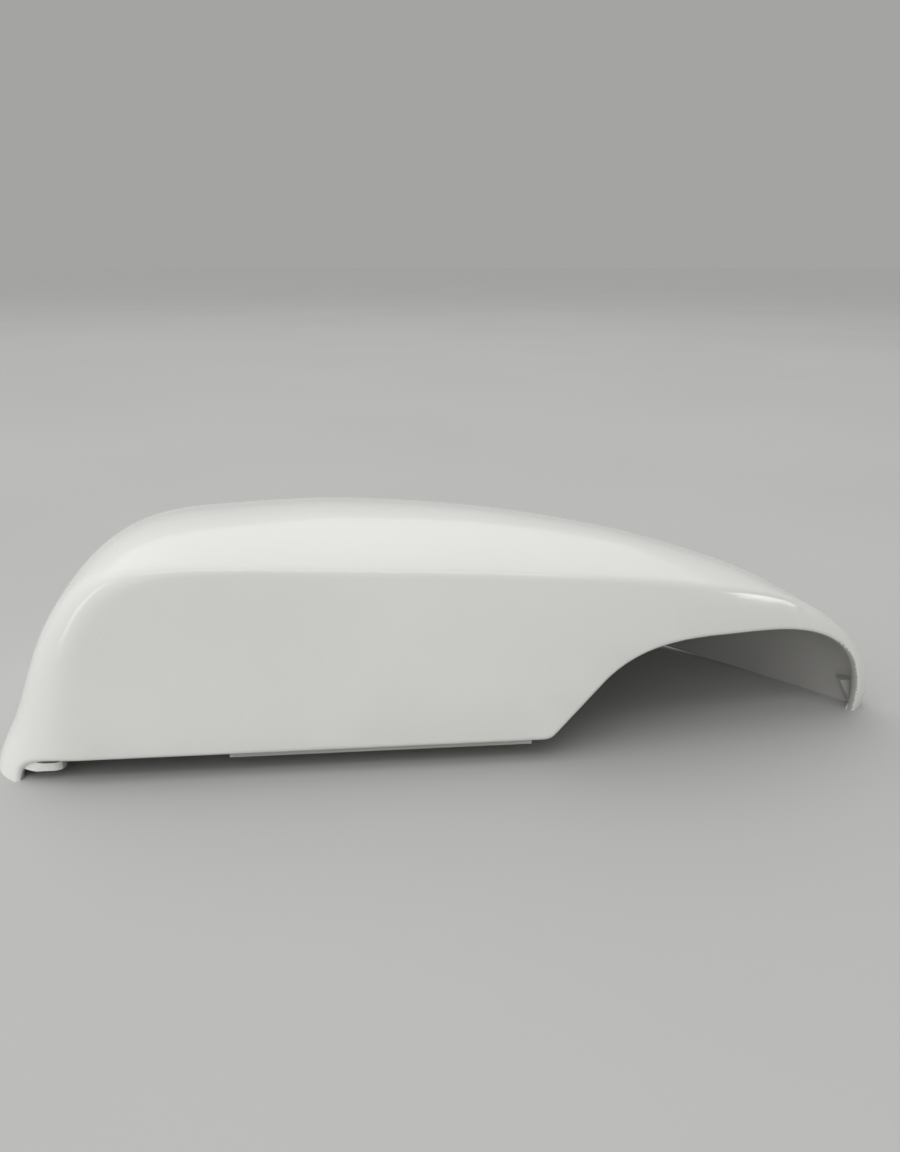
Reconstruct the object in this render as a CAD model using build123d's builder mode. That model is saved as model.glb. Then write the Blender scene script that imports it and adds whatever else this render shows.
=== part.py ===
from build123d import *
import os
from math import acos, atan, cos, degrees, hypot, pi, radians, sin, sqrt, tan

# Wing mirror cover, lying open side down. +X runs to the narrow tip, +Y away from the creased wall.

# Overall size
LENGTH = 243.5
WIDTH = 131.0
HEIGHT = 60.0
WALL = 2.5

# Lean of the walls, in degrees
CREASED_WALL_LEAN = 10.5
SMOOTH_WALL_LEAN = 12.0
END_WALL_LEAN = 20.6

# Crown, seen along Y
APEX_FROM_END = 84.0
CROWN_POWER = 2.2
END_FALL = 3.9
END_FALL_RUN = 50.0
SHOULDER_POWER = 7.0
CREASE_DROP = 8.6
CREASE_DROP_POWER = 0.8
CREASE_FROM_END = 13.0
CREASE_FROM_TIP = 32.0

# Plan of the rim
TIP_SETBACK = 26.0
TIP_BEND = 113.0
END_TURN = 63.0
TIP_TURN = 28.5

# Tangent length of the rounding where the creased wall meets the crown
CREASE_CORNER = 1.6
END_CORNER = 24.0
TIP_CORNER = 6.0
TIP_REACH = 2.2
TIP_OVERTURN_ANGLE = 56.0

# Fullness of the crown, as shares of its span and of its height
CROWN_PULL_SHARE = 0.33
END_PULL_SHARE = 0.42
TIP_PULL_SHARE = 0.30
FLANK_PULL_SHARE = 0.82
END_FLANK_PULL_SHARE = 0.75
TIP_FLANK_PULL_SHARE = 0.40
INSET_PULL_SHARE = 0.55
STEEPEST_RISE_ANGLE = 75.0

# The skin is drawn below the table and trimmed there
TRIM_DEPTH = 10.0
TURN_CORE = 7.0
END_SWELL = 1.6
END_EASE = 21.0
END_TURN_ANGLES = (90, 70, 50, 32, 15)
MIDDLE_STATIONS = 8
TIP_TURN_ANGLES = (30, 60, 90)

# Rim and arch
RIM_RAISE = 6.0
RIM_DIP_FROM_END = 9.5
RIM_DIP_RUN = 12.0
ARCH_FROM_TIP = 98.5
ARCH_DEPTH = 22.5
ARCH_END_FROM_TIP = 6.0
ARCH_BAND = 13.2
ARCH_CREST_FROM_TIP = 52.0
ARCH_RAMP = 13.8
ARCH_RAMP_PULL = 12.7
ARCH_CREST_PULL = 12.0
ARCH_FALL_PULL = 24.0
ARCH_FOOT_ROUND = 4.0
RIM_ROUND = 1.2
SMOOTH_RIM_RAISE = 3.0
SMOOTH_RIM_FROM_END = 88.0
SMOOTH_RIM_FROM_TIP = 18.0

# Ribs and locating pegs under the crown
RIB_THICK = 1.5
RIB_HEIGHT = 5.0
RIB_LEVEL = 30.0
CROSS_RIBS_FROM_END = (58.0, 98.0, 138.0)
CROSS_RIB_FROM_CREASE_RIM = 20.0
CROSS_RIB_LENGTH = 64.0
LONG_RIBS_FROM_CREASE_RIM = (32.0, 64.0)
LONG_RIB_FROM_END = 34.0
LONG_RIB_LENGTH = 124.0
PEG_RADIUS = 3.0
PEG_LEVEL = 18.0
PEG_BEVEL = 1.0
BOSS_RADIUS = 4.5
FIN_REACH = 7.0
FIN_LEVEL = 28.0

# Clip hooks, locating strip, corner tab and tip web
HOOK_WIDTH = 9.0
HOOK_THICK = 1.8
HOOK_REACH = 9.0
HOOK_LIP = 5.0
HOOK_LEVEL = 9.0
HOOKS_FROM_END = (64.0, 118.0, 170.0)
END_HOOK_FROM_CREASE_RIM = 62.0
STRIP_FROM_END = 62.0
STRIP_FROM_ARCH = 5.0
STRIP_THICK = 1.6
STRIP_PEEP = 1.2
STRIP_FROM_SKIN = 1.8
STRIP_HEIGHT = 9.0
TAB_WIDTH = 5.0
TAB_THICK = 2.2
TAB_LEVEL = 2.8
TAB_FROM_CREASE_RIM = 6.0
TAB_TO_END = 20.5
WEB_THICK = 1.6
WEB_HEIGHT = 8.0
WEB_LENGTH = 9.0
WEB_FROM_TIP_LINE = -1.0
WEB_LEVEL = 1.0

creased_slope = tan(radians(CREASED_WALL_LEAN))
smooth_slope = tan(radians(SMOOTH_WALL_LEAN))
x_end = (END_SWELL - LENGTH) / 2
x_tip = x_end + LENGTH
x_turn = x_end + END_TURN
x_bend = x_tip - TIP_TURN
x_apex = x_end + APEX_FROM_END
y_crease_rim = -WIDTH / 2 - RIM_RAISE * creased_slope / 2
y_smooth_rim = y_crease_rim + WIDTH
y_tip = y_crease_rim + TIP_SETBACK
x_dip = x_end + RIM_DIP_FROM_END
x_arch = x_tip - ARCH_FROM_TIP
x_crest = x_tip - ARCH_CREST_FROM_TIP
x_arch_end = x_tip - ARCH_END_FROM_TIP
x_low_start = x_end + SMOOTH_RIM_FROM_END
x_low_end = x_tip - SMOOTH_RIM_FROM_TIP
x_low_middle = (x_low_start + x_low_end) / 2
peg_spots = [
    (x_end + CROSS_RIBS_FROM_END[0], y_crease_rim + LONG_RIBS_FROM_CREASE_RIM[1]),
    (x_end + CROSS_RIBS_FROM_END[2], y_crease_rim + LONG_RIBS_FROM_CREASE_RIM[0]),
]
hook_corners = [
    (0, 0),
    (-HOOK_REACH - WALL, 0),
    (-HOOK_REACH - WALL, HOOK_LIP - HOOK_THICK / 2),
    (-HOOK_REACH - WALL + HOOK_THICK / 2, HOOK_LIP),
    (-HOOK_REACH - WALL + HOOK_THICK, HOOK_LIP),
    (-HOOK_REACH - WALL + HOOK_THICK, HOOK_THICK),
    (0, HOOK_THICK),
]


def blend(first, last, share):
    return first + (last - first) * share


def crown_height(x):
    if x < x_apex:
        return HEIGHT + TRIM_DEPTH - END_FALL * ((x_apex - x) / END_FALL_RUN) ** 2
    run = (x - x_apex) / (x_tip - x_apex)
    return HEIGHT * (1 - run**CROWN_POWER) ** (1 / CROWN_POWER) + TRIM_DEPTH


def creased_rim(x):
    run = min(max(x - x_tip + TIP_BEND, 0) / TIP_BEND, 1)
    return y_crease_rim + TIP_SETBACK * (1 - sqrt(1 - run**2))


def smooth_rim(x):
    run = max(x - x_turn, 0) / (x_tip - x_turn)
    return y_smooth_rim - (y_smooth_rim - y_tip) * run**2


def crease_drop(x):
    run = (x - x_end - CREASE_FROM_END) / (LENGTH - CREASE_FROM_END - CREASE_FROM_TIP)
    return CREASE_DROP * sin(pi * min(max(run, 0), 1)) ** CREASE_DROP_POWER


def crease_level(x):
    return crown_height(x) - TRIM_DEPTH - crease_drop(x)


def inside_end(across, height):
    if across < 0:
        return height < crown_height(x_turn - across)
    slope = 2 * END_FALL * (x_apex - x_turn) / END_FALL_RUN**2
    lean = radians(END_WALL_LEAN)
    top = (height + slope * across) / crown_height(x_turn)
    side = (across * cos(lean) + height * sin(lean)) / (END_TURN * cos(lean) + TRIM_DEPTH * sin(lean))
    return top**SHOULDER_POWER + side**SHOULDER_POWER < 1


def end_reach(start, angle):
    short = 0
    long = LENGTH
    while long - short > 1e-6:
        reach = (short + long) / 2
        if inside_end(x_turn - start + reach * sin(angle), reach * cos(angle)):
            short = reach
        else:
            long = reach
    return short


def tip_reach(angle):
    short = 0
    long = LENGTH
    while long - short > 1e-6:
        reach = (short + long) / 2
        run = (x_bend + reach * sin(angle) - x_apex) / (x_tip - x_apex)
        rise = max(reach * cos(angle) - TRIM_DEPTH, 0) / HEIGHT
        if run**CROWN_POWER + rise**CROWN_POWER > 1:
            long = reach
        else:
            short = reach
    return short


class Station:
    def __init__(self, x, angle, reach, drop):
        self.plane = Plane((x, 0, -TRIM_DEPTH), x_dir=(0, 1, 0), z_dir=(cos(angle), 0, -sin(angle)))
        self.rim = creased_rim(x) - TRIM_DEPTH * creased_slope
        self.back = smooth_rim(x) + TRIM_DEPTH * smooth_slope
        self.crease_reach = reach - drop
        self.crease = self.rim + creased_slope * self.crease_reach * cos(angle)
        self.reach = reach
        self.overturn = 0
        self.corner = CREASE_CORNER
        self.pull = CROWN_PULL_SHARE
        self.flank_pull = FLANK_PULL_SHARE
        self.flank_lean = SMOOTH_WALL_LEAN


def stations():
    rows = []
    for turn in END_TURN_ANGLES:
        angle = radians(turn)
        start = x_turn + END_EASE * (1 - turn / 90) ** 3
        reach = end_reach(start, angle)
        across = max(x_turn - start + reach * sin(angle), 0)
        share = across / hypot(across, reach * cos(angle))
        drop = crease_drop(max(start - reach * sin(angle), x_turn)) * (1 - share)
        row = Station(start, -angle, reach, drop)
        row.corner = blend(CREASE_CORNER, END_CORNER, share**2)
        row.pull = blend(CROWN_PULL_SHARE, END_PULL_SHARE, share**2)
        row.flank_pull = blend(FLANK_PULL_SHARE, END_FLANK_PULL_SHARE, share**2)
        row.flank_lean = blend(SMOOTH_WALL_LEAN, 0, share**2)
        rows.append(row)
    for step in range(MIDDLE_STATIONS):
        x = blend(x_turn + END_EASE, x_bend, step / (MIDDLE_STATIONS - 1))
        rows.append(Station(x, 0, crown_height(x), crease_drop(x)))
    rim_slope = 2 * (y_smooth_rim - y_tip) * (x_bend - x_turn) / (x_tip - x_turn) ** 2
    for turn in TIP_TURN_ANGLES:
        angle = radians(turn)
        share = sin(angle) ** 2
        drop = crease_drop(x_bend) * (1 - share)
        row = Station(x_bend, angle, tip_reach(angle), drop)
        upright = row.rim + creased_slope * (crown_height(x_bend) - drop)
        row.crease = blend(upright, y_tip, share)
        row.crease_reach += TIP_REACH * share
        row.overturn = TIP_OVERTURN_ANGLE * share
        row.corner = blend(CREASE_CORNER, TIP_CORNER, share)
        row.pull = blend(CROWN_PULL_SHARE, TIP_PULL_SHARE, share)
        row.flank_pull = blend(FLANK_PULL_SHARE, TIP_FLANK_PULL_SHARE, share)
        row.flank_lean = degrees(atan(smooth_slope * cos(angle) + rim_slope * sin(angle)))
        rows.append(row)
    return rows


def crown_peak(row, rise):
    start = row.crease_reach + row.corner * sin(rise)
    pulled = start + row.pull * (row.back - row.crease) * sin(rise)
    flank = TURN_CORE + row.flank_pull * row.crease_reach * cos(radians(row.flank_lean))
    peak = start
    for step in range(1, 50):
        run = step / 50
        rest = 1 - run
        height = start * rest**3 + 3 * pulled * run * rest**2 + 3 * flank * run**2 * rest + TURN_CORE * run**3
        peak = max(peak, height)
    return peak


def crown_rise(row):
    if row.overturn:
        return -radians(row.overturn)
    flat = 0
    steep = radians(STEEPEST_RISE_ANGLE)
    while steep - flat > 1e-6:
        rise = (flat + steep) / 2
        if crown_peak(row, rise) > row.reach:
            steep = rise
        else:
            flat = rise
    return flat


def meet(point, along, other, across):
    turn = along[0] * across[1] - along[1] * across[0]
    step = ((other[0] - point[0]) * across[1] - (other[1] - point[1]) * across[0]) / turn
    return (point[0] + along[0] * step, point[1] + along[1] * step)


def shifted(point, along, step):
    return (point[0] + along[0] * step, point[1] + along[1] * step)


def skin_sections(inset):
    faces = []
    for row in stations():
        pull = row.pull * (row.back - row.crease)
        rise = crown_rise(row)
        size = hypot(row.crease - row.rim, row.crease_reach)
        up = ((row.crease - row.rim) / size, row.crease_reach / size)
        over = (cos(rise), sin(rise))
        lean = radians(row.flank_lean)
        flank = (-sin(lean), cos(lean))
        wall_point = shifted((row.rim, 0), (up[1], -up[0]), inset)
        crown_point = shifted((row.crease, row.crease_reach), (over[1], -over[0]), inset)
        flank_point = shifted((row.back, 0), (-flank[1], flank[0]), inset)
        crease = meet(wall_point, up, crown_point, over)
        floor = (0, TURN_CORE - inset / 2)
        rim = meet(wall_point, up, floor, (1, 0))
        back = meet(flank_point, flank, floor, (1, 0))
        half_turn = acos(up[0] * over[0] + up[1] * over[1]) / 2
        tangent = max(row.corner - inset * tan(half_turn), CREASE_CORNER / 2)
        before = shifted(crease, up, -tangent)
        after = shifted(crease, over, tangent)
        crown_pull = shifted(after, over, pull - INSET_PULL_SHARE * inset)
        flank_pull = shifted(back, flank, row.flank_pull * row.crease_reach - INSET_PULL_SHARE * inset)
        with BuildLine(row.plane):
            wall = Line(rim, before)
            corner = Bezier(before, crease, after)
            crown = Bezier(after, crown_pull, flank_pull, back)
            base = Line(back, rim)
        faces.append(Face(Wire([wall, corner, crown, base])))
    return faces


with BuildPart() as outer_body:
    loft(sections=skin_sections(0))

with BuildPart() as cavity:
    loft(sections=skin_sections(WALL))

with BuildPart() as mid_wall:
    loft(sections=skin_sections(WALL / 2))

with BuildPart() as rib_floor:
    loft(sections=skin_sections(WALL + RIB_HEIGHT))

with BuildPart() as inner_fittings:
    with BuildSketch(Plane.XY.offset(RIB_LEVEL)):
        for offset in CROSS_RIBS_FROM_END:
            with Locations((x_end + offset, y_crease_rim + CROSS_RIB_FROM_CREASE_RIM)):
                Rectangle(RIB_THICK, CROSS_RIB_LENGTH, align=(Align.CENTER, Align.MIN))
        for offset in LONG_RIBS_FROM_CREASE_RIM:
            with Locations((x_end + LONG_RIB_FROM_END, y_crease_rim + offset)):
                Rectangle(LONG_RIB_LENGTH, RIB_THICK, align=(Align.MIN, Align.CENTER))
    extrude(amount=HEIGHT)
    add(rib_floor.part, mode=Mode.SUBTRACT)
    with BuildSketch(Plane.XY.offset(FIN_LEVEL)):
        with Locations(*peg_spots):
            Circle(BOSS_RADIUS)
            Rectangle(2 * FIN_REACH, RIB_THICK)
            Rectangle(RIB_THICK, 2 * FIN_REACH)
    extrude(amount=HEIGHT + RIB_LEVEL - FIN_LEVEL)
    with BuildSketch(Plane.XY.offset(PEG_LEVEL)):
        with Locations(*peg_spots):
            Circle(PEG_RADIUS)
    extrude(amount=FIN_LEVEL - PEG_LEVEL)
    chamfer(inner_fittings.edges().filter_by(GeomType.CIRCLE).group_by(Axis.Z)[0], PEG_BEVEL)
    for offset in HOOKS_FROM_END:
        root = smooth_rim(x_end + offset)
        with BuildSketch(Plane.YZ.offset(x_end + offset - HOOK_WIDTH / 2)):
            with Locations((root, HOOK_LEVEL)):
                Polygon(*hook_corners, align=None)
        extrude(amount=HOOK_WIDTH)
    with BuildSketch(Plane.XZ.offset(-y_crease_rim - END_HOOK_FROM_CREASE_RIM - HOOK_WIDTH / 2)):
        with Locations((x_end, HOOK_LEVEL)):
            Polygon(*[(-across, up) for across, up in hook_corners], align=None)
    extrude(amount=HOOK_WIDTH)
    with BuildSketch(Plane.XY.offset(TAB_LEVEL)):
        with Locations((x_end + TAB_TO_END / 2, y_crease_rim + TAB_FROM_CREASE_RIM)):
            SlotOverall(TAB_TO_END, TAB_WIDTH)
    extrude(amount=TAB_THICK)
    with BuildSketch(Plane.XZ.offset(-y_tip - WEB_FROM_TIP_LINE)):
        with Locations((x_tip, WEB_LEVEL)):
            Polygon((0, 0), (0, WEB_HEIGHT), (-WEB_LENGTH, WEB_HEIGHT), (-WEB_LENGTH / 2, 0), align=None)
    extrude(amount=WEB_THICK, both=True)
    add(mid_wall.part, mode=Mode.INTERSECT)

with BuildPart() as strip:
    with BuildSketch(Plane.YZ.offset(x_end + STRIP_FROM_END)):
        with Locations((y_crease_rim + STRIP_FROM_SKIN, 0)):
            low = RIM_RAISE - STRIP_PEEP
            high = low + STRIP_HEIGHT
            deep = WALL - STRIP_FROM_SKIN + STRIP_THICK
            Polygon(
                (low * creased_slope, low),
                (low * creased_slope + deep, low),
                (high * creased_slope + deep, high),
                (high * creased_slope, high),
                align=None,
            )
    extrude(amount=x_arch - STRIP_FROM_ARCH - x_end - STRIP_FROM_END)

outer_skin = outer_body.part.shell()
arch_height = crease_level(x_crest) - ARCH_BAND


def is_creased_rim(edge):
    middle = edge @ 0.5
    on_skin = max(outer_skin.distance_to(edge @ share) for share in (0.1, 0.5, 0.9)) < 0.02
    below_arch = WALL / 4 < middle.Z < arch_height + WALL
    return on_skin and below_arch and middle.Y < y_crease_rim + ARCH_DEPTH


with BuildPart() as plain_cover:
    add(outer_body.part)
    add(cavity.part, mode=Mode.SUBTRACT)
    with BuildSketch(Plane.XY):
        Rectangle(2 * LENGTH, 2 * WIDTH)
    extrude(amount=-2 * TRIM_DEPTH, mode=Mode.SUBTRACT)
    with BuildSketch(Plane.XZ.offset(-y_crease_rim - ARCH_DEPTH)) as arch_cut:
        with BuildLine():
            dip = Bezier((x_dip, 0), (x_dip, RIM_RAISE), (x_dip + RIM_DIP_RUN, RIM_RAISE))
            rim_line = Line(dip @ 1, (x_arch, RIM_RAISE))
            ramp = Line(rim_line @ 1, (x_arch + ARCH_RAMP, RIM_RAISE + ARCH_RAMP))
            ramp_pull = ramp @ 1 + (ramp % 1) * ARCH_RAMP_PULL
            Bezier(ramp @ 1, ramp_pull, (x_crest - ARCH_CREST_PULL, arch_height), (x_crest, arch_height))
            fall_pull = (x_crest + ARCH_FALL_PULL, arch_height)
            fall = Bezier((x_crest, arch_height), fall_pull, (x_arch_end, arch_height), (x_arch_end, 0))
            Polyline(fall @ 1, (x_arch_end, -TRIM_DEPTH), (x_dip, -TRIM_DEPTH), dip @ 0)
        make_face()
        fillet(arch_cut.vertices().sort_by_distance((x_arch, RIM_RAISE))[0], ARCH_FOOT_ROUND)
    extrude(amount=WIDTH, mode=Mode.SUBTRACT)
    with BuildSketch(Plane.XZ.offset(-y_tip)):
        with BuildLine():
            pull = (x_low_end - x_low_start) / 6
            climb = Bezier(
                (x_low_start, 0),
                (x_low_start + pull, 0),
                (x_low_middle - pull, SMOOTH_RIM_RAISE),
                (x_low_middle, SMOOTH_RIM_RAISE),
            )
            descent = Bezier(
                (x_low_middle, SMOOTH_RIM_RAISE),
                (x_low_middle + pull, SMOOTH_RIM_RAISE),
                (x_low_end - pull, 0),
                (x_low_end, 0),
            )
            Line(descent @ 1, climb @ 0)
        make_face()
    extrude(amount=-2 * WIDTH, mode=Mode.SUBTRACT)
    fillet([edge for edge in plain_cover.edges() if is_creased_rim(edge)], RIM_ROUND)

# The plain cover is parted into three bays, so that no edge runs round the whole rim
with BuildPart() as end_bay:
    add(plain_cover.part)
    split(bisect_by=Plane.YZ.offset(x_turn), keep=Keep.BOTTOM)
with BuildPart() as middle_bay:
    add(plain_cover.part)
    split(bisect_by=Plane.YZ.offset(x_turn), keep=Keep.TOP)
    split(bisect_by=Plane.YZ.offset(x_bend), keep=Keep.BOTTOM)
with BuildPart() as tip_bay:
    add(plain_cover.part)
    split(bisect_by=Plane.YZ.offset(x_bend), keep=Keep.TOP)
with BuildPart() as mirror_cover:
    add(end_bay.part)
    add(middle_bay.part, clean=False)
    add(tip_bay.part, clean=False)
    add(inner_fittings.part, clean=False)
    add(strip.part, clean=False)

mirror_cover.part.label = "mirror_cover"
os.makedirs("parts", exist_ok=True)
export_step(mirror_cover.part, "parts/mirror_cover.step")
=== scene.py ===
"""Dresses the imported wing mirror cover: moulded white plastic, a pale studio floor and the close view."""

from math import radians
from typing import NamedTuple

import bmesh
import bpy
from bpy.props import FloatProperty, FloatVectorProperty, PointerProperty
from bpy.types import Operator, Panel, PropertyGroup
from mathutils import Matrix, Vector
from mathutils.bvhtree import BVHTree
from mathutils.geometry import intersect_point_line


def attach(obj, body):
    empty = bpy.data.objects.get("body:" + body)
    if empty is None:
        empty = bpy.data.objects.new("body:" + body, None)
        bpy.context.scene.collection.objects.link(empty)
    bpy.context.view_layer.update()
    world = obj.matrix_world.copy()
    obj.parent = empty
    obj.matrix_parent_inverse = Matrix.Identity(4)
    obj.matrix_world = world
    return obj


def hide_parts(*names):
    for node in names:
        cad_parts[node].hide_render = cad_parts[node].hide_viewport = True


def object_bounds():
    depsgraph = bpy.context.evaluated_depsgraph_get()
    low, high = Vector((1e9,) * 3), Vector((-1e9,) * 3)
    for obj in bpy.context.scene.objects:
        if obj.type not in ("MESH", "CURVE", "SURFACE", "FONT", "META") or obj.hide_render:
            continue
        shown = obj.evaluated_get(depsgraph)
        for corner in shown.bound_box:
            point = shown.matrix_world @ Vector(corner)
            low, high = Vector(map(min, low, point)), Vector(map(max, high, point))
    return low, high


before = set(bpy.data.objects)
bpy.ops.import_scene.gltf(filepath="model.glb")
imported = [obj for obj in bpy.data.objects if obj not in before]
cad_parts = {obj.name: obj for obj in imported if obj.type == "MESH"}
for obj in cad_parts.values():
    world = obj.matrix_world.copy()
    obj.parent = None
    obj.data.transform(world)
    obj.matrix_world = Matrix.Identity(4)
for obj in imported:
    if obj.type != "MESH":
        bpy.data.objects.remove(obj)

bl_info = {
    "name": "Wing Mirror Cover Studio",
    "version": (1, 0, 0),
    "blender": (4, 5, 0),
    "location": "View3D > Sidebar > Cover",
    "description": "Finishes a moulded wing mirror cover and sets it on a pale studio floor",
    "category": "Object",
}

NODE = "mirror_cover"
cad_box = [list(corner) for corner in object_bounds()]

# Mesh, in metres
WELD_GAP = 2e-6
SLIVER_EDGE = 1e-6
SKIN_GAP = 0.0004

# Middle line of the hollow, as shares of the cover's length and width
HOLLOW_AT_END = (0.27, 0.50)
HOLLOW_AT_TIP = (0.75, 0.30)

# Strip below the creased rim, darkened with the inside tone partly as painted shade: heights and depths in
# metres, run as shares of the length
STRIP_LEVELS = (0.002, 0.0059)
STRIP_DEPTHS = (0.0014, 0.012)
STRIP_RUN = (0.10, 0.70)

# Refraction of both plastics, and the band of the noise that every colour drift spans
PLASTIC_IOR = 1.5
DRIFT_BAND = (0.35, 0.65)

# Painted outside
PAINT_DRIFT_SIZE = 0.06
DUST_SIZE = 0.0012
DUST_BAND = (0.62, 0.75)
DUST_ROUGHNESS = 0.34
COAT_WEIGHT = 0.35
COAT_ROUGHNESS = 0.06

# Bare inside, whose darker tone is partly the plastic's own and partly painted shade
INSIDE_DRIFT_SIZE = 0.035
INSIDE_DIMMING = 0.93
CLOUD_SIZE = 0.01
CLOUD_BAND = (0.3, 0.7)
CLOUD_SWING = 0.07

# Floor
FLOOR_RADIUS = 12.0
FLOOR_SEGMENTS = 96
FLOOR_ROUGHNESS = 0.6
MOTTLE_SIZE = 0.25
MOTTLE_DIMMING = 0.97

# Height of the camera's frame in millimetres, and the nearest distance that it sees in metres
FRAME_HEIGHT = 36.0
NEAREST_SEEN = 0.01

# Direction from the cover to the side of its broad end
BROAD_END_SIDE = (-1.0, 0.0, 0.0)


class LampPlan(NamedTuple):
    """Place and size in metres, spread in degrees, and the point in view if it isn't the cover's middle."""

    place: tuple
    size: tuple
    spread: float = 180.0
    aim: tuple = None


LAMPS = {
    "top": LampPlan(place=(-0.10, 0.70, 1.15), size=(2.2, 2.2), aim=(-0.10, 0.70, 0.0)),
    "front": LampPlan(place=(-0.05, -0.55, 0.85), size=(0.9, 0.12)),
    "side": LampPlan(place=(-0.80, -0.46, 0.42), size=(0.12, 0.62), spread=70.0),
    "tip": LampPlan(place=(0.66, -0.58, 0.13), size=(0.16, 0.14), spread=45.0, aim=(0.085, -0.05, 0.04)),
}


class CoverFinish(PropertyGroup):
    """Colours and surface of the moulded plastic."""

    gloss_white: FloatVectorProperty(
        name="Gloss white",
        description="Colour of the painted outside",
        subtype="COLOR",
        size=3,
        min=0.0,
        max=1.0,
        default=(0.78, 0.783, 0.755),
    )
    shade_white: FloatVectorProperty(
        name="Shade white",
        description="Second white that drifts softly through the first",
        subtype="COLOR",
        size=3,
        min=0.0,
        max=1.0,
        default=(0.765, 0.767, 0.735),
    )
    # Darker tone of the inside faces: partly the bare plastic's own colour, partly painted shade of the
    # hollow and the strip
    inside_tone: FloatVectorProperty(
        name="Inside tone",
        description="Colour of the bare plastic inside",
        subtype="COLOR",
        size=3,
        min=0.0,
        max=1.0,
        default=(0.42, 0.415, 0.40),
    )
    gloss_roughness: FloatProperty(
        name="Gloss roughness",
        description="Roughness of the outside between its specks of dust",
        subtype="FACTOR",
        min=0.0,
        max=1.0,
        default=0.17,
    )
    inside_roughness: FloatProperty(
        name="Inside roughness",
        description="Roughness of the bare plastic inside",
        subtype="FACTOR",
        min=0.0,
        max=1.0,
        default=0.42,
    )
    peel_size: FloatProperty(
        name="Peel size",
        description="Width of the gentle waves in the gloss",
        unit="LENGTH",
        min=0.0002,
        max=0.01,
        default=0.0022,
    )
    peel_depth: FloatProperty(
        name="Peel depth",
        description="Height of the gentle waves in the gloss",
        unit="LENGTH",
        min=0.0,
        max=0.0005,
        precision=6,
        default=0.000004,
    )
    grain_size: FloatProperty(
        name="Grain size",
        description="Width of the moulding grain inside",
        unit="LENGTH",
        min=0.0002,
        max=0.01,
        default=0.0009,
    )
    grain_depth: FloatProperty(
        name="Grain depth",
        description="Height of the moulding grain inside",
        unit="LENGTH",
        min=0.0,
        max=0.0005,
        precision=6,
        default=0.00003,
    )
    sharp_angle: FloatProperty(
        name="Sharp angle",
        description="Edges that turn by more than this stay crisp",
        subtype="ANGLE",
        min=radians(5),
        max=radians(90),
        default=radians(28),
    )


class StudioLook(PropertyGroup):
    """Floor, lamps and camera of the studio."""

    floor_tone: FloatVectorProperty(
        name="Floor tone",
        description="Colour of the pale floor",
        subtype="COLOR",
        size=3,
        min=0.0,
        max=1.0,
        default=(0.50, 0.50, 0.495),
    )
    sky_tone: FloatVectorProperty(
        name="Backdrop tone",
        description="Colour of the backdrop behind the floor",
        subtype="COLOR",
        size=3,
        min=0.0,
        max=1.0,
        default=(0.37, 0.37, 0.366),
    )
    sky_light: FloatProperty(
        name="Backdrop light",
        description="How strongly the backdrop lights the floor and the cover",
        min=0.0,
        max=5.0,
        default=2.03,
    )
    sky_lean: FloatProperty(
        name="Backdrop lean",
        description="How much more light the backdrop gives from beside the broad end",
        subtype="FACTOR",
        min=0.0,
        max=1.0,
        default=0.8,
    )
    top_power: FloatProperty(
        name="Top lamp",
        description="Power of the broad lamp overhead",
        unit="POWER",
        min=0.0,
        max=500.0,
        default=6.4,
    )
    front_power: FloatProperty(
        name="Front lamp",
        description="Power of the long lamp above the camera, which draws the crease",
        unit="POWER",
        min=0.0,
        max=500.0,
        default=0.8,
    )
    side_power: FloatProperty(
        name="Side lamp",
        description="Power of the tall lamp beside the broad end",
        unit="POWER",
        min=0.0,
        max=500.0,
        default=0.08,
    )
    tip_power: FloatProperty(
        name="Tip lamp",
        description="Power of the small lamp in front of the tip",
        unit="POWER",
        min=0.0,
        max=500.0,
        default=0.026,
    )
    camera_place: FloatVectorProperty(
        name="Camera place",
        description="Where the camera stands",
        subtype="TRANSLATION",
        unit="LENGTH",
        size=3,
        default=(-0.0209, -0.2688, 0.1252),
    )
    camera_turn: FloatProperty(
        name="Camera turn",
        description="Turn of the camera to the right of straight ahead",
        subtype="ANGLE",
        default=radians(5.12),
    )
    camera_pitch: FloatProperty(
        name="Camera pitch",
        description="Tilt of the camera below the horizon",
        subtype="ANGLE",
        default=radians(19.5),
    )
    camera_lens: FloatProperty(
        name="Camera lens",
        description="Focal length on a frame 36 mm high",
        unit="CAMERA",
        min=5.0,
        max=300.0,
        default=28.125,
    )


def new_material(name):
    """An empty node material with its shader and output."""
    material = bpy.data.materials.new(name)
    material.use_nodes = True
    tree = material.node_tree
    tree.nodes.clear()
    output = tree.nodes.new("ShaderNodeOutputMaterial")
    shader = tree.nodes.new("ShaderNodeBsdfPrincipled")
    tree.links.new(shader.outputs["BSDF"], output.inputs["Surface"])
    return material, tree, shader


def noise(tree, size, detail=2.0, roughness=0.5):
    """Noise in the object's own space, with features of the given size in metres."""
    place = tree.nodes.new("ShaderNodeTexCoord")
    field = tree.nodes.new("ShaderNodeTexNoise")
    field.inputs["Scale"].default_value = 1.0 / size
    field.inputs["Detail"].default_value = detail
    field.inputs["Roughness"].default_value = roughness
    tree.links.new(place.outputs["Object"], field.inputs["Vector"])
    return field.outputs["Fac"]


def remap(tree, value, band, low, high):
    """Stretches a band of a value's range onto another range."""
    node = tree.nodes.new("ShaderNodeMapRange")
    node.inputs["From Min"].default_value = band[0]
    node.inputs["From Max"].default_value = band[1]
    node.inputs["To Min"].default_value = low
    node.inputs["To Max"].default_value = high
    tree.links.new(value, node.inputs["Value"])
    return node.outputs["Result"]


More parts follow.
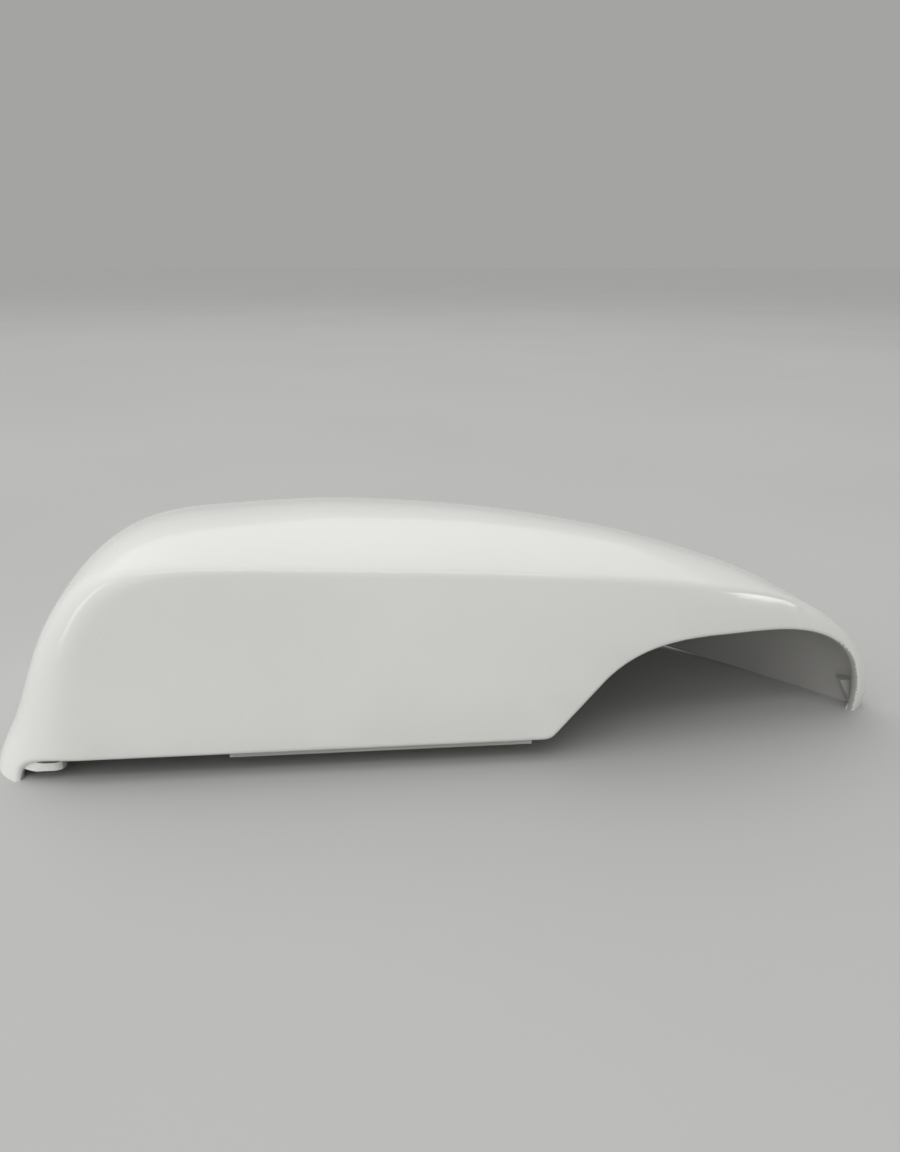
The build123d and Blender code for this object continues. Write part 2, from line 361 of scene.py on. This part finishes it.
def drifting_colour(tree, shader, size, first, second):
    """One base colour that drifts into another over patches of the given size in metres."""
    drift = remap(tree, noise(tree, size, detail=3.0), DRIFT_BAND, 0.0, 1.0)
    node = tree.nodes.new("ShaderNodeMix")
    node.data_type = "RGBA"
    node.inputs["A"].default_value = (*first, 1.0)
    node.inputs["B"].default_value = (*second, 1.0)
    tree.links.new(drift, node.inputs["Factor"])
    tree.links.new(node.outputs["Result"], shader.inputs["Base Color"])


def bumped(tree, shader, height, depth):
    """Raises the surface by a height map of the given depth in metres."""
    node = tree.nodes.new("ShaderNodeBump")
    node.inputs["Strength"].default_value = 1.0
    node.inputs["Distance"].default_value = depth
    tree.links.new(height, node.inputs["Height"])
    tree.links.new(node.outputs["Normal"], shader.inputs["Normal"])


def dimmed(tone, share):
    """A darker version of a colour."""
    return tuple(share * part for part in tone)


def gloss_plastic(finish):
    """Painted white outside: glossy, gently waved, with faint dust."""
    material, tree, shader = new_material("gloss_white")
    drifting_colour(tree, shader, PAINT_DRIFT_SIZE, finish.gloss_white, finish.shade_white)
    specks = noise(tree, DUST_SIZE, detail=4.0, roughness=0.6)
    dust = remap(tree, specks, DUST_BAND, finish.gloss_roughness, DUST_ROUGHNESS)
    tree.links.new(dust, shader.inputs["Roughness"])
    shader.inputs["Coat Weight"].default_value = COAT_WEIGHT
    shader.inputs["Coat Roughness"].default_value = COAT_ROUGHNESS
    shader.inputs["IOR"].default_value = PLASTIC_IOR
    bumped(tree, shader, noise(tree, finish.peel_size, detail=1.0), finish.peel_depth)
    return material


def inside_plastic_and_shade(finish):
    """Bare moulded plastic inside: satin, with a fine grain. Its darker tone is partly the plastic's own
    colour and partly painted shade of the hollow.
    """
    material, tree, shader = new_material("inside_tone")
    tone = finish.inside_tone
    drifting_colour(tree, shader, INSIDE_DRIFT_SIZE, tone, dimmed(tone, INSIDE_DIMMING))
    rough = finish.inside_roughness
    cloud = remap(tree, noise(tree, CLOUD_SIZE), CLOUD_BAND, rough - CLOUD_SWING, rough + CLOUD_SWING)
    tree.links.new(cloud, shader.inputs["Roughness"])
    shader.inputs["IOR"].default_value = PLASTIC_IOR
    bumped(tree, shader, noise(tree, finish.grain_size), finish.grain_depth)
    return material


def hollow_core(place):
    """The nearest point of the hollow's middle line, at the level that the cover stands on."""
    low, high = (Vector(corner) for corner in cad_box)
    size = high - low
    end = low + Vector((HOLLOW_AT_END[0] * size.x, HOLLOW_AT_END[1] * size.y, 0.0))
    tip = low + Vector((HOLLOW_AT_TIP[0] * size.x, HOLLOW_AT_TIP[1] * size.y, 0.0))
    share = intersect_point_line(place, end, tip)[1]
    return end.lerp(tip, min(max(share, 0.0), 1.0))


def is_on_strip(place):
    """True on the strip, which peeps out below the creased rim behind the skin."""
    low, high = (Vector(corner) for corner in cad_box)
    on_level = STRIP_LEVELS[0] < place.z - low.z < STRIP_LEVELS[1]
    on_depth = STRIP_DEPTHS[0] < place.y - low.y < STRIP_DEPTHS[1]
    on_run = STRIP_RUN[0] < (place.x - low.x) / (high.x - low.x) < STRIP_RUN[1]
    return on_level and on_depth and on_run


def is_bare_and_shaded(lookup, face):
    """True on the strip, and where a face looks towards the hollow's middle line or at another wall. These
    faces get the darker inside tone, partly as painted shade of the recesses.
    """
    place = face.calc_center_median()
    if is_on_strip(place) or face.normal.dot(place - hollow_core(place)) < 0.0:
        return True
    start = place + face.normal * SKIN_GAP
    return lookup.ray_cast(start, face.normal)[0] is not None


def smooth_copy(source, name, sharp_angle):
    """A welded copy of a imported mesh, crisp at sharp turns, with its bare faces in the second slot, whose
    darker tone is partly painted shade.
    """
    mesh = source.data.copy()
    mesh.name = name
    mesh.materials.clear()
    work = bmesh.new()
    work.from_mesh(mesh)
    bmesh.ops.remove_doubles(work, verts=work.verts, dist=WELD_GAP)
    bmesh.ops.dissolve_degenerate(work, edges=work.edges, dist=SLIVER_EDGE)
    bmesh.ops.recalc_face_normals(work, faces=work.faces)
    for edge in work.edges:
        edge.smooth = edge.is_manifold and edge.calc_face_angle(0.0) < sharp_angle
    lookup = BVHTree.FromBMesh(work)
    for face in work.faces:
        face.smooth = True
        # Faces in recesses and on the strip take the darker inside tone, partly as painted shade
        face.material_index = 1 if is_bare_and_shaded(lookup, face) else 0
    work.to_mesh(mesh)
    work.free()
    return bpy.data.objects.new(name, mesh)


class COVER_OT_shell(Operator):
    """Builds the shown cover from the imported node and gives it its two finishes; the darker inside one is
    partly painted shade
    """

    bl_idname = "cover.shell"
    bl_label = "Moulded cover"

    def execute(self, context):
        finish = context.scene.cover_finish
        shell = smooth_copy(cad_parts[NODE], "cover_shell", finish.sharp_angle)
        shell.data.materials.append(gloss_plastic(finish))
        shell.data.materials.append(inside_plastic_and_shade(finish))
        context.scene.collection.objects.link(shell)
        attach(shell, "root")
        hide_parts(NODE)
        return {"FINISHED"}


def floor_material(look):
    """Pale matt floor with a faint mottle."""
    material, tree, shader = new_material("studio_floor")
    tone = look.floor_tone
    drifting_colour(tree, shader, MOTTLE_SIZE, tone, dimmed(tone, MOTTLE_DIMMING))
    shader.inputs["Roughness"].default_value = FLOOR_ROUGHNESS
    return material


def lay_floor(scene, look, place):
    """A wide round floor about a point under the cover."""
    plan = bmesh.new()
    bmesh.ops.create_circle(plan, cap_ends=True, segments=FLOOR_SEGMENTS, radius=FLOOR_RADIUS)
    mesh = bpy.data.meshes.new("studio_floor")
    plan.to_mesh(mesh)
    plan.free()
    mesh.materials.append(floor_material(look))
    floor = bpy.data.objects.new("studio_floor", mesh)
    floor.location = place
    scene.collection.objects.link(floor)


def hang_lamp(scene, name, plan, power, middle):
    """A soft rectangular lamp that looks at a point and keeps its light within its spread."""
    light = bpy.data.lights.new(name, "AREA")
    light.shape = "RECTANGLE"
    light.size, light.size_y = plan.size
    light.energy = power
    light.spread = radians(plan.spread)
    body = bpy.data.objects.new(name, light)
    place = Vector(plan.place)
    aim = Vector(plan.aim or middle)
    body.location = place
    body.rotation_euler = (aim - place).to_track_quat("-Z", "Y").to_euler()
    scene.collection.objects.link(body)


def hang_backdrop(scene, look):
    """One tone for the camera and reflections, and a light that is brighter beside the broad end."""
    world = bpy.data.worlds.new("studio_backdrop")
    scene.world = world
    world.use_nodes = True
    tree = world.node_tree
    tree.nodes.clear()
    output = tree.nodes.new("ShaderNodeOutputWorld")
    seen = tree.nodes.new("ShaderNodeBackground")
    seen.inputs["Color"].default_value = (*look.sky_tone, 1.0)
    seen.inputs["Strength"].default_value = 1.0
    lit = tree.nodes.new("ShaderNodeBackground")
    lit.inputs["Color"].default_value = (*look.sky_tone, 1.0)

    way = tree.nodes.new("ShaderNodeTexCoord")
    sideways = tree.nodes.new("ShaderNodeVectorMath")
    sideways.operation = "DOT_PRODUCT"
    sideways.inputs[1].default_value = BROAD_END_SIDE
    tree.links.new(way.outputs["Generated"], sideways.inputs[0])
    weak = look.sky_light * (1.0 - look.sky_lean)
    strong = look.sky_light * (1.0 + look.sky_lean)
    strength = remap(tree, sideways.outputs["Value"], (-1.0, 1.0), weak, strong)
    tree.links.new(strength, lit.inputs["Strength"])

    path = tree.nodes.new("ShaderNodeLightPath")
    mix = tree.nodes.new("ShaderNodeMixShader")
    straight = path.outputs["Is Camera Ray"]
    for kind in ("Is Glossy Ray", "Is Transmission Ray"):
        either = tree.nodes.new("ShaderNodeMath")
        either.operation = "MAXIMUM"
        tree.links.new(straight, either.inputs[0])
        tree.links.new(path.outputs[kind], either.inputs[1])
        straight = either.outputs["Value"]
    tree.links.new(straight, mix.inputs["Fac"])
    tree.links.new(lit.outputs["Background"], mix.inputs[1])
    tree.links.new(seen.outputs["Background"], mix.inputs[2])
    tree.links.new(mix.outputs["Shader"], output.inputs["Surface"])


def place_camera(scene, look):
    """The close view over the creased wall."""
    data = bpy.data.cameras.new("camera")
    data.lens = look.camera_lens
    data.sensor_width = FRAME_HEIGHT
    data.sensor_fit = "AUTO"
    data.clip_start = NEAREST_SEEN
    camera = bpy.data.objects.new("camera", data)
    camera.location = look.camera_place
    camera.rotation_euler = (radians(90) - look.camera_pitch, 0.0, -look.camera_turn)
    scene.collection.objects.link(camera)
    scene.camera = camera


class COVER_OT_stage(Operator):
    """Lays the pale floor, hangs the lamps and the backdrop, and places the camera"""

    bl_idname = "cover.stage"
    bl_label = "Studio"

    def execute(self, context):
        scene = context.scene
        look = scene.cover_studio
        low, high = (Vector(corner) for corner in cad_box)
        middle = (low + high) / 2
        lay_floor(scene, look, (middle.x, middle.y, low.z))
        for name, plan in LAMPS.items():
            hang_lamp(scene, f"{name}_lamp", plan, getattr(look, f"{name}_power"), middle)
        hang_backdrop(scene, look)
        place_camera(scene, look)
        scene.view_settings.view_transform = "Standard"
        return {"FINISHED"}


class COVER_PT_panel(Panel):
    """Finish, studio and the steps that make them"""

    bl_idname = "COVER_PT_panel"
    bl_label = "Wing Mirror Cover"
    bl_space_type = "VIEW_3D"
    bl_region_type = "UI"
    bl_category = "Cover"

    def draw(self, context):
        layout = self.layout
        for group in (context.scene.cover_finish, context.scene.cover_studio):
            box = layout.box()
            for name in group.__annotations__:
                box.prop(group, name)
        layout.operator(COVER_OT_shell.bl_idname)
        layout.operator(COVER_OT_stage.bl_idname)


CLASSES = (CoverFinish, StudioLook, COVER_OT_shell, COVER_OT_stage, COVER_PT_panel)


def register():
    for cls in CLASSES:
        bpy.utils.register_class(cls)
    bpy.types.Scene.cover_finish = PointerProperty(type=CoverFinish)
    bpy.types.Scene.cover_studio = PointerProperty(type=StudioLook)


def unregister():
    del bpy.types.Scene.cover_studio
    del bpy.types.Scene.cover_finish
    for cls in reversed(CLASSES):
        bpy.utils.unregister_class(cls)


def main():
    register()
    bpy.ops.cover.shell()
    bpy.ops.cover.stage()


if __name__ == "__main__":
    main()
